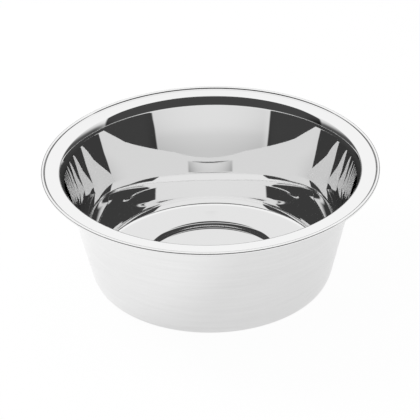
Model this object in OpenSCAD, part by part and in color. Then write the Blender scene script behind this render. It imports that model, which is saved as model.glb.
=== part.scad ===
// Stainless steel feeding bowl for a dog, drawn and stamped from one round steel sheet.
// The sheet is one closed solid: raised floor disc, foot ring, corner, wall, shoulder,
// flange and rolled bead. The table is z = 0 and the bowl's axis is the Z axis.

/* [Bowl] */
// Outer diameter of the rolled rim
rim_d = 212.4; // [190:0.1:300]
// Height from the table to the top of the rim
bowl_h = 77.6; // [50:0.1:110]
// Thickness of the steel sheet
sheet_t = 0.6; // [0.4:0.1:0.9]

/* [Rim] */
// Diameter of the rolled bead
bead_d = 2.4; // [1.6:0.1:4]
// Radius of the groove where the flange rises into the bead
groove_r = 0.7; // [0.3:0.1:1.5]
// Width of the flat flange, from the groove to the shoulder
flange_w = 7.6; // [1:0.1:12]
// Radius of the top side of the shoulder, where the flange turns down
shoulder_r = 1.5; // [1:0.1:6]
// Radius of the inner side of the throat, where the shoulder eases into the wall
throat_r = 17; // [8:0.1:24]

/* [Wall] */
// Lean of the lower wall from upright, in degrees
lower_lean = 11.9; // [6:0.1:12.5]
// Lean of the upper wall from upright, in degrees
upper_lean = 13.3; // [12.5:0.1:20]
// Length of the straight upper wall
upper_wall_l = 14.6; // [1:0.1:20]
// Radius of the gentle bend between the lower and the upper wall
flare_r = 640; // [100:10:700]

/* [Base] */
// Outer radius of the corner between the wall and the foot ring
corner_r = 3; // [2:0.1:6]
// Radius of the gentle bend that eases the corner into the lower wall
wall_foot_r = 25; // [15:0.5:60]
// Width of the flat foot ring that the bowl stands on
foot_w = 19.7; // [5:0.1:35]
// Height of the floor disc above the foot ring
step_h = 2; // [0.5:0.1:3]
// Width of the gentle stamped step between the foot ring and the floor disc
step_w = 13.7; // [6:0.1:18]

/* [Hidden] */
$fn = 240;

// Turns of the gentle bend above the corner and of the tight shoulder bend
wall_foot_turn = 12;
shoulder_turn = 55;
// Share of the step that its upper bend takes
step_top_share = 0.38;
// Rise of the flange into the bead, and turn of the bead past its top
bead_rise = 75;
bead_turn = 215;
// Largest turn between two neighbouring points of a bend
facet_turn = 7.5;

// Bend radii along the middle of the sheet
half_t = sheet_t / 2;
bead_mid_r = bead_d / 2 - half_t;
groove_mid_r = groove_r + half_t;
shoulder_mid_r = shoulder_r - half_t;
throat_mid_r = throat_r - half_t;
corner_mid_r = corner_r - half_t;

// The step is two bends that meet on one slope, the upper one next to the floor disc
step_slope = 2 * atan(step_h / step_w);
step_mid_r = step_w / sin(step_slope);
step_top_r = step_mid_r * step_top_share;
step_foot_r = step_mid_r * (1 - step_top_share);

// The bead's reach beyond the flange, and its middle's height above the flange's sheet
bead_reach = (groove_mid_r + bead_mid_r) * sin(bead_rise) + bead_d / 2;
bead_lift = groove_mid_r - (groove_mid_r + bead_mid_r) * cos(bead_rise);

// Moves along the middle of the sheet, from the bowl's axis to the end of the rolled bead.
// A move is [straight length, bend radius, turn], and a left turn is positive.
function sheet_moves(disc_l, lower_wall_l) = [
    [disc_l, step_top_r, -step_slope],
    [0, step_foot_r, step_slope],
    [foot_w, corner_mid_r, 90 - lower_lean - wall_foot_turn],
    [0, wall_foot_r, wall_foot_turn],
    [lower_wall_l, flare_r, lower_lean - upper_lean],
    [upper_wall_l, throat_mid_r, upper_lean - 90 + shoulder_turn],
    [0, shoulder_mid_r, -shoulder_turn],
    [flange_w, groove_mid_r, bead_rise],
    [0, bead_mid_r, -bead_rise - bead_turn]
];

// The place where a move ends. A place is [radius, height, heading].
function after_move(place, move) =
    let (
        heading = place[2],
        new_heading = heading + move[2],
        signed_r = move[1] * sign(move[2])
    )
    [
        place[0] + move[0] * cos(heading) + signed_r * (sin(new_heading) - sin(heading)),
        place[1] + move[0] * sin(heading) - signed_r * (cos(new_heading) - cos(heading)),
        new_heading
    ];

// The place where the first few moves of a list end
function after_moves(start, moves, count) =
    count == 0 ? start : after_move(after_moves(start, moves, count - 1), moves[count - 1]);

// The lower wall takes the height that is left, and the floor disc the radius that is left
start_place = [0, half_t + step_h, 0];
to_flange = len(sheet_moves(0, 0)) - 2;
bare_end = after_moves(start_place, sheet_moves(0, 0), to_flange);
flange_height = bowl_h - bead_d / 2 - bead_lift;
lower_wall_l = (flange_height - bare_end[1]) / cos(lower_lean);
walled_end = after_moves(start_place, sheet_moves(0, lower_wall_l), to_flange);
disc_l = rim_d / 2 - bead_reach - flange_w - walled_end[0];

// Points of the middle line: the start, then each move's bend in equal small turns
moves = sheet_moves(disc_l, lower_wall_l);
middle_line = concat([start_place], [
    for (i = [0 : len(moves) - 1])
    let (
        from = after_moves(start_place, moves, i),
        steps = ceil(abs(moves[i][2]) / facet_turn)
    )
    for (k = [moves[i][0] > 0 ? 0 : 1 : steps])
    after_move(from, [moves[i][0], moves[i][1], moves[i][2] * k / steps])
]);

// The middle line moved to one face of the sheet: up and inwards, or down and outwards
function sheet_face(offset) = [
    for (place = middle_line)
    [place[0] - offset * sin(place[2]), place[1] + offset * cos(place[2])]
];

function reversed(points) = [for (i = [len(points) - 1 : -1 : 0]) points[i]];

module bowl_shell() {
    color("silver")
        rotate_extrude()
            polygon(concat(sheet_face(half_t), reversed(sheet_face(-half_t))));
}

bowl_shell();
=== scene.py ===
import math

import bpy
from mathutils import Matrix, Vector


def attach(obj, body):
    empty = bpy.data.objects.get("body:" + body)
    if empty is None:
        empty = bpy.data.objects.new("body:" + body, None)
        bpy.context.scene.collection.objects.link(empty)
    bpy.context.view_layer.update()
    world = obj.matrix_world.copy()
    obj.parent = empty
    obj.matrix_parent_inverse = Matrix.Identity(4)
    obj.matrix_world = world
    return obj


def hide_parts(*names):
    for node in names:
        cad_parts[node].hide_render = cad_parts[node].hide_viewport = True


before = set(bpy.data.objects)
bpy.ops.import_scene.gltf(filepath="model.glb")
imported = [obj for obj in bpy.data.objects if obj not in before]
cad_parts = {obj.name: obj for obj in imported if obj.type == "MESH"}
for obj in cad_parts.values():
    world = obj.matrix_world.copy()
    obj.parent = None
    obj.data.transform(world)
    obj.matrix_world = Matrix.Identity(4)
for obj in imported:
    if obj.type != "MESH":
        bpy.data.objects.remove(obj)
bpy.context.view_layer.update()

# ---------------------------------------------------------------------------
# The bowl: one round blank of stainless steel, deep drawn to a leaning wall with
# a flat flange, its edge rolled into a small bead and its floor stamped up in the
# middle. It is polished to a mirror inside and left a little more satin outside.
# ---------------------------------------------------------------------------
MM = 0.001

# Sizes as in the part's source, with every bend radius taken at the middle of the
# sheet, and leans and turns in degrees
RIM_RADIUS = 106.2 * MM
BOWL_HEIGHT = 77.6 * MM
SHEET = 0.6 * MM
BEAD_RADIUS = 0.9 * MM
BEAD_RISE = 75.0
BEAD_TURN = 215.0
GROOVE_RADIUS = 1.0 * MM
FLANGE_WIDTH = 7.6 * MM
SHOULDER_RADIUS = 1.2 * MM
SHOULDER_TURN = 55.0
THROAT_RADIUS = 16.7 * MM
UPPER_WALL = 14.6 * MM
UPPER_LEAN = 13.3
LOWER_LEAN = 11.9
FLARE_RADIUS = 640.0 * MM
WALL_FOOT_RADIUS = 25.0 * MM
WALL_FOOT_TURN = 12.0
CORNER_RADIUS = 2.7 * MM
FOOT_WIDTH = 19.7 * MM
STEP_HEIGHT = 2.0 * MM
STEP_WIDTH = 13.7 * MM
STEP_TOP_SHARE = 0.38

# How finely the mesh follows them
GUARD = 0.12 * MM
FACETS_ROUND_AXIS = 300
SEAM_GAP = 0.002 * MM
SHARPEST_SMOOTH = math.radians(30)


def bend_end(place, straight, radius, turn):
    """Where the middle of the sheet gets to after a straight stretch and a bend."""
    across, height, heading = place
    start = math.radians(heading)
    end = math.radians(heading + turn)
    signed = math.copysign(radius, turn)
    across += straight * math.cos(start) + signed * (math.sin(end) - math.sin(start))
    height += straight * math.sin(start) - signed * (math.cos(end) - math.cos(start))
    return across, height, heading + turn


def pressed_section(disc, wall):
    """The sheet's bends from the axis outwards: straight, bend radius, turn, facets."""
    return [
        (disc, step_radius * STEP_TOP_SHARE, -step_slope, 12),
        (0, step_radius * (1 - STEP_TOP_SHARE), step_slope, 16),
        (FOOT_WIDTH, CORNER_RADIUS, 90 - LOWER_LEAN - WALL_FOOT_TURN, 20),
        (0, WALL_FOOT_RADIUS, WALL_FOOT_TURN, 8),
        (wall, FLARE_RADIUS, LOWER_LEAN - UPPER_LEAN, 6),
        (UPPER_WALL, THROAT_RADIUS, UPPER_LEAN - 90 + SHOULDER_TURN, 12),
        (0, SHOULDER_RADIUS, -SHOULDER_TURN, 13),
        (FLANGE_WIDTH, GROOVE_RADIUS, BEAD_RISE, 10),
        (0, BEAD_RADIUS, -BEAD_RISE - BEAD_TURN, 38),
    ]


def place_at_flange(disc, wall):
    """Where the flange starts: all the bends but the last two lie before it."""
    place = centre_of_floor
    for straight, radius, turn, facets in pressed_section(disc, wall)[:-2]:
        place = bend_end(place, straight, radius, turn)
    return place


# The floor disc takes the radius that is left, and the lower wall the height
centre_of_floor = (0, STEP_HEIGHT + SHEET / 2, 0)
step_slope = math.degrees(2 * math.atan(STEP_HEIGHT / STEP_WIDTH))
step_radius = STEP_WIDTH / math.sin(math.radians(step_slope))
rise = math.radians(BEAD_RISE)
flange_height = BOWL_HEIGHT - SHEET / 2 - BEAD_RADIUS - GROOVE_RADIUS
flange_height += (GROOVE_RADIUS + BEAD_RADIUS) * math.cos(rise)
wall_length = flange_height - place_at_flange(0, 0)[1]
wall_length /= math.cos(math.radians(LOWER_LEAN))
bead_reach = (GROOVE_RADIUS + BEAD_RADIUS) * math.sin(rise) + BEAD_RADIUS + SHEET / 2
disc_radius = RIM_RADIUS - bead_reach - FLANGE_WIDTH - place_at_flange(0, wall_length)[0]

# The middle line of the sheet. A guard point stands just inside both ends of each
# straight stretch, so that the shading of a bend doesn't bleed into the flat metal.
place = centre_of_floor
middle_line = [place]
for straight, radius, turn, facets in pressed_section(disc_radius, wall_length):
    if straight > 0:
        for reach in (GUARD, straight / 2, straight - GUARD, straight):
            middle_line.append(bend_end(place, reach, radius, 0))
    for step in range(1, facets + 1):
        middle_line.append(bend_end(place, straight, radius, turn * step / facets))
    place = bend_end(place, straight, radius, turn)

# A small plate is merged to one point on the axis and drawn out along the middle line
bpy.ops.object.select_all(action="DESELECT")
bpy.ops.mesh.primitive_plane_add(size=SHEET, location=(0, 0, 0))
bowl = bpy.context.object
bowl.name = "pressed_steel_bowl"
bowl.data.name = "pressed_steel_bowl"
bpy.ops.object.mode_set(mode="EDIT")
bpy.ops.mesh.select_all(action="SELECT")
bpy.ops.mesh.merge(type="CENTER")
bpy.ops.transform.translate(value=(0, 0, middle_line[0][1]))
for before, after in zip(middle_line, middle_line[1:]):
    draw = (after[0] - before[0], 0, after[1] - before[1])
    bpy.ops.mesh.extrude_region_move(TRANSFORM_OT_translate={"value": draw})

# The line is spun once round the axis, closed, and given the thickness of the sheet
bpy.ops.mesh.select_all(action="SELECT")
bpy.ops.mesh.spin(steps=FACETS_ROUND_AXIS, angle=math.tau, center=(0, 0, 0), axis=(0, 0, 1))
bpy.ops.mesh.select_all(action="SELECT")
bpy.ops.mesh.remove_doubles(threshold=SEAM_GAP)
bpy.ops.mesh.normals_make_consistent(inside=False)
bpy.ops.object.mode_set(mode="OBJECT")
thickness = bowl.modifiers.new("Solidify", "SOLIDIFY")
thickness.thickness = SHEET
thickness.offset = 0
bpy.ops.object.modifier_apply(modifier="Solidify")
bpy.ops.object.shade_smooth_by_angle(angle=SHARPEST_SMOOTH)


class Reading:
    """A socket of a shader. Sums written on readings add the Math nodes."""

    def __init__(self, tree, socket=None):
        self.tree = tree
        self.socket = socket

    def node(self, kind, settings, sockets, output=0):
        """Adds a node: its settings first, then the values or links of its sockets."""
        made = self.tree.nodes.new(kind)
        for name, value in settings.items():
            setattr(made, name, value)
        for name, value in sockets.items():
            if isinstance(value, Reading):
                self.tree.links.new(value.socket, made.inputs[name])
            else:
                made.inputs[name].default_value = value
        return Reading(self.tree, made.outputs[output] if made.outputs else None)

    def maths(self, operation, *values):
        """Adds a Math node on numbers or other readings."""
        return self.node("ShaderNodeMath", {"operation": operation}, dict(enumerate(values)))

    def __add__(self, other):
        return self.maths("ADD", self, other)

    def __radd__(self, other):
        return self.maths("ADD", other, self)

    def __sub__(self, other):
        return self.maths("SUBTRACT", self, other)

    def __rsub__(self, other):
        return self.maths("SUBTRACT", other, self)

    def __mul__(self, other):
        return self.maths("MULTIPLY", self, other)

    def __rmul__(self, other):
        return self.maths("MULTIPLY", other, self)

    def __truediv__(self, other):
        return self.maths("DIVIDE", self, other)

    def __rtruediv__(self, other):
        return self.maths("DIVIDE", other, self)

    def length_with(self, other, least):
        """The hypotenuse of two readings, and never less than the least length."""
        squares = self * self + other * other
        return self.maths("MAXIMUM", self.maths("SQRT", squares), least)

    def part(self, axis):
        """The X, Y or Z of a vector."""
        return self.node("ShaderNodeSeparateXYZ", {}, {"Vector": self}, axis)

    def eased(self, low, high):
        """0 below low and 1 above high, with a soft change between them."""
        ends = {"Value": self, "From Min": low, "From Max": high}
        return self.node("ShaderNodeMapRange", {"interpolation_type": "SMOOTHSTEP"}, ends)


def new_finish(name):
    """A material with an empty node tree, and a reading to build it from."""
    finish = bpy.data.materials.new(name)
    finish.use_nodes = True
    finish.node_tree.nodes.clear()
    return finish, Reading(finish.node_tree)


# Polished steel reflects most of the light. Turned lines show as faint streaks on the
# satin outside, and the inside has only a slow ripple a few thousandths of a mm deep.
STEEL_GREY = 0.86
STREAK_CONTRAST = 0.06
MIRROR_ROUGHNESS = 0.01
LINE_ROUGHNESS = 0.01
SATIN_ROUGHNESS = 0.10
FACING_OUT = (0.1, 0.4)
RIPPLES_PER_METRE = 34.0
RIPPLE_DEPTH = 0.004 * MM
BROAD_LINES_PER_METRE = 330.0
BROAD_LINE_SPREAD = 2.0
BROAD_LINE_DEPTH = 0.00003 * MM
FINE_LINES_PER_METRE = 2600.0
FINE_LINE_SPREAD = 3.0
FINE_LINE_DEPTH = 0.000003 * MM

polished, sheet = new_finish("polished_steel")
spot = sheet.node("ShaderNodeTexCoord", {}, {}, "Object")
x, y, z = spot.part("X"), spot.part("Y"), spot.part("Z")
from_axis = x.length_with(y, 1.0 * MM)
along = from_axis + z
round_x = x / from_axis
round_y = y / from_axis


def turned(lines_per_metre, spread):
    """Noise drawn out into rings, which change along their way round by their spread."""
    rings = {"X": along * lines_per_metre, "Y": round_x * spread, "Z": round_y * spread}
    where = sheet.node("ShaderNodeCombineXYZ", {}, rings)
    return sheet.node("ShaderNodeTexNoise", {}, {"Vector": where, "Scale": 1.0, "Detail": 2.0})


# The outside of the wall is the side that faces away from the axis
facing = sheet.node("ShaderNodeTexCoord", {}, {}, "Normal")
outwards = facing.part("X") * round_x + facing.part("Y") * round_y
outside = outwards.eased(*FACING_OUT)
fine_lines = turned(FINE_LINES_PER_METRE, FINE_LINE_SPREAD)
broad_lines = turned(BROAD_LINES_PER_METRE, BROAD_LINE_SPREAD)
ripple_spot = {"Vector": spot, "Scale": RIPPLES_PER_METRE, "Detail": 1.0}
ripple = sheet.node("ShaderNodeTexNoise", {}, ripple_spot)
surface = ripple * RIPPLE_DEPTH + broad_lines * BROAD_LINE_DEPTH + fine_lines * FINE_LINE_DEPTH
bumped = {"Strength": 1.0, "Distance": 1.0, "Height": surface}
steel = {
    "Base Color": STEEL_GREY - STREAK_CONTRAST * outside * (broad_lines - 0.5),
    "Metallic": 1.0,
    "Roughness": MIRROR_ROUGHNESS + LINE_ROUGHNESS * broad_lines + SATIN_ROUGHNESS * outside,
    "Normal": sheet.node("ShaderNodeBump", {}, bumped),
}
metal = sheet.node("ShaderNodeBsdfPrincipled", {}, steel)
sheet.node("ShaderNodeOutputMaterial", {}, {"Surface": metal})
bowl.data.materials.append(polished)
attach(bowl, "root")
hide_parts("bowl_shell")

# ---------------------------------------------------------------------------
# The floor: plain white card that the bowl stands on. It takes the soft shadow
# under the bowl, and the eye and the polished steel see it as nearly white.
# ---------------------------------------------------------------------------
FLOOR_RADIUS = 6.0
CARD_GREY = 0.86
WHITE_TO_EYE = 0.97
WHITE_IN_MIRROR = 0.65

bpy.ops.object.select_all(action="DESELECT")
bpy.ops.mesh.primitive_circle_add(vertices=96, radius=FLOOR_RADIUS, fill_type="NGON")
floor = bpy.context.object
floor.name = "studio_floor"
card, paper = new_finish("white_card")
to_eye = paper.node("ShaderNodeLightPath", {}, {}, "Is Camera Ray")
mirrored = paper.node("ShaderNodeLightPath", {}, {}, "Is Glossy Ray")
glazed = paper.node("ShaderNodeLightPath", {}, {}, "Is Transmission Ray")
seen_white = to_eye * WHITE_TO_EYE + mirrored * WHITE_IN_MIRROR + glazed * WHITE_IN_MIRROR
matt = paper.node("ShaderNodeBsdfDiffuse", {}, {"Color": (CARD_GREY, CARD_GREY, CARD_GREY, 1)})
white = paper.node("ShaderNodeEmission", {}, {"Color": (1, 1, 1, 1), "Strength": 1.0})
lit = paper.node("ShaderNodeMixShader", {}, {0: seen_white, 1: matt, 2: white})
paper.node("ShaderNodeOutputMaterial", {}, {"Surface": lit})
floor.data.materials.append(card)

# ---------------------------------------------------------------------------
# The light: a white tent all round and above, open towards the camera, so that
# the steel mirrors a dark room there, up to the tent's sloping roof. A thin strip
# lamp hangs above the camera, and the tent's far side is dimmer low down.
# ---------------------------------------------------------------------------
OPENING_TURN = math.radians(3.9)
ROOF_SLOPE = 0.70
TENT_GLOW = 1.04
FAR_SIDE_DIM = 0.6
FAR_FOOT_DIM = 0.8
ROOM_DARKNESS = 0.94

# Where each soft edge of the light starts and ends. A height is the sine of the angle
# above level, and a direction the cosine of the angle from straight away.
OPENING_EDGE = (-0.02, 0.03)
ROOF_EDGE = (0.385, 0.425)
ROOM_FLOOR_EDGE = (0.02, 0.07)
STRIP_LAMP_BOTTOM = (0.675, 0.705)
STRIP_LAMP_TOP = (0.715, 0.735)
FAR_HALF_EDGE = (-0.27, 0.16)
FAR_SIDE_HEIGHT = (0.12, 0.5)
FAR_FOOT_HEIGHT = (0.12, 0.3)

world = bpy.data.worlds.new("studio_tent")
bpy.context.scene.world = world
world.use_nodes = True
world.node_tree.nodes.clear()
tent = Reading(world.node_tree)
direction = tent.node("ShaderNodeTexCoord", {}, {}, "Generated")
across, ahead, up = direction.part("X"), direction.part("Y"), direction.part("Z")
level = across.length_with(ahead, 0.0001)
away_from_room = (across * math.sin(OPENING_TURN) + ahead * math.cos(OPENING_TURN)) / level
opening = 1 - away_from_room.eased(*OPENING_EDGE)
strip_lamp = up.eased(*STRIP_LAMP_BOTTOM) * (1 - up.eased(*STRIP_LAMP_TOP))
under_roof = (1 - (up + ROOF_SLOPE * ahead).eased(*ROOF_EDGE)) * (1 - strip_lamp)
dark_room = opening * under_roof * up.eased(*ROOM_FLOOR_EDGE)
far_half = (ahead / level).eased(*FAR_HALF_EDGE)
far_side = TENT_GLOW - FAR_SIDE_DIM * far_half * (1 - up.eased(*FAR_SIDE_HEIGHT))
far_foot = 1 - FAR_FOOT_DIM * far_half * (1 - up.eased(*FAR_FOOT_HEIGHT))
glow = far_side * far_foot * (1 - ROOM_DARKNESS * dark_room)
seen = tent.node("ShaderNodeLightPath", {}, {}, "Is Camera Ray")
shown = glow * (1 - seen) + seen
light = tent.node("ShaderNodeBackground", {}, {"Color": (1, 1, 1, 1), "Strength": shown})
tent.node("ShaderNodeOutputWorld", {}, {"Surface": light})

# A soft lamp high on the left gives the shadow its direction
LAMP_WIDTH = 0.5
LAMP_POWER = 9.0
LAMP_PLACE = (-0.75, 0.35, 0.9)

key = bpy.data.lights.new("key_lamp", "AREA")
key.shape = "DISK"
key.size = LAMP_WIDTH
key.energy = LAMP_POWER
lamp = bpy.data.objects.new("key_lamp", key)
bpy.context.scene.collection.objects.link(lamp)
lamp.location = LAMP_PLACE
lamp.rotation_euler = (-lamp.location).to_track_quat("-Z", "Y").to_euler()
lamp.visible_glossy = False
lamp.visible_camera = False

# ---------------------------------------------------------------------------
# The camera: a long lens in front of the bowl and above it, rolled a little.
# Its distance and aim were fitted in units of about the rim's radius.
# ---------------------------------------------------------------------------
PICTURE_WIDTH = 420
FOCAL_LENGTH_IN_PIXELS = 1560.44
SENSOR_WIDTH = 36.0
FITTED_UNIT = 0.105
CAMERA_DISTANCE = 9.5 * FITTED_UNIT
CAMERA_PITCH = 0.5447
CAMERA_ROLL = -0.0196
CAMERA_AIM = Vector((-0.0041, 0, 0.3992)) * FITTED_UNIT
PIXEL_AT_BOWL = CAMERA_DISTANCE / FOCAL_LENGTH_IN_PIXELS

lens = bpy.data.cameras.new("camera")
lens.sensor_width = SENSOR_WIDTH
lens.lens = FOCAL_LENGTH_IN_PIXELS / PICTURE_WIDTH * SENSOR_WIDTH
camera = bpy.data.objects.new("camera", lens)
bpy.context.scene.collection.objects.link(camera)
pitch = Matrix.Rotation(math.pi / 2 - CAMERA_PITCH, 4, "X")
turn = pitch @ Matrix.Rotation(CAMERA_ROLL, 4, "Z")
half_pixel = Vector((-0.5, 0.5, 0)) * PIXEL_AT_BOWL
back_off = Vector((0, 0, CAMERA_DISTANCE)) + half_pixel
camera.matrix_world = Matrix.Translation(CAMERA_AIM + turn.to_3x3() @ back_off) @ turn
bpy.context.scene.camera = camera
bpy.context.scene.view_settings.view_transform = "Standard"

# Light meets the inside of the bowl many times before it leaves
MIRROR_BOUNCES = 12
bpy.context.scene.cycles.glossy_bounces = MIRROR_BOUNCES
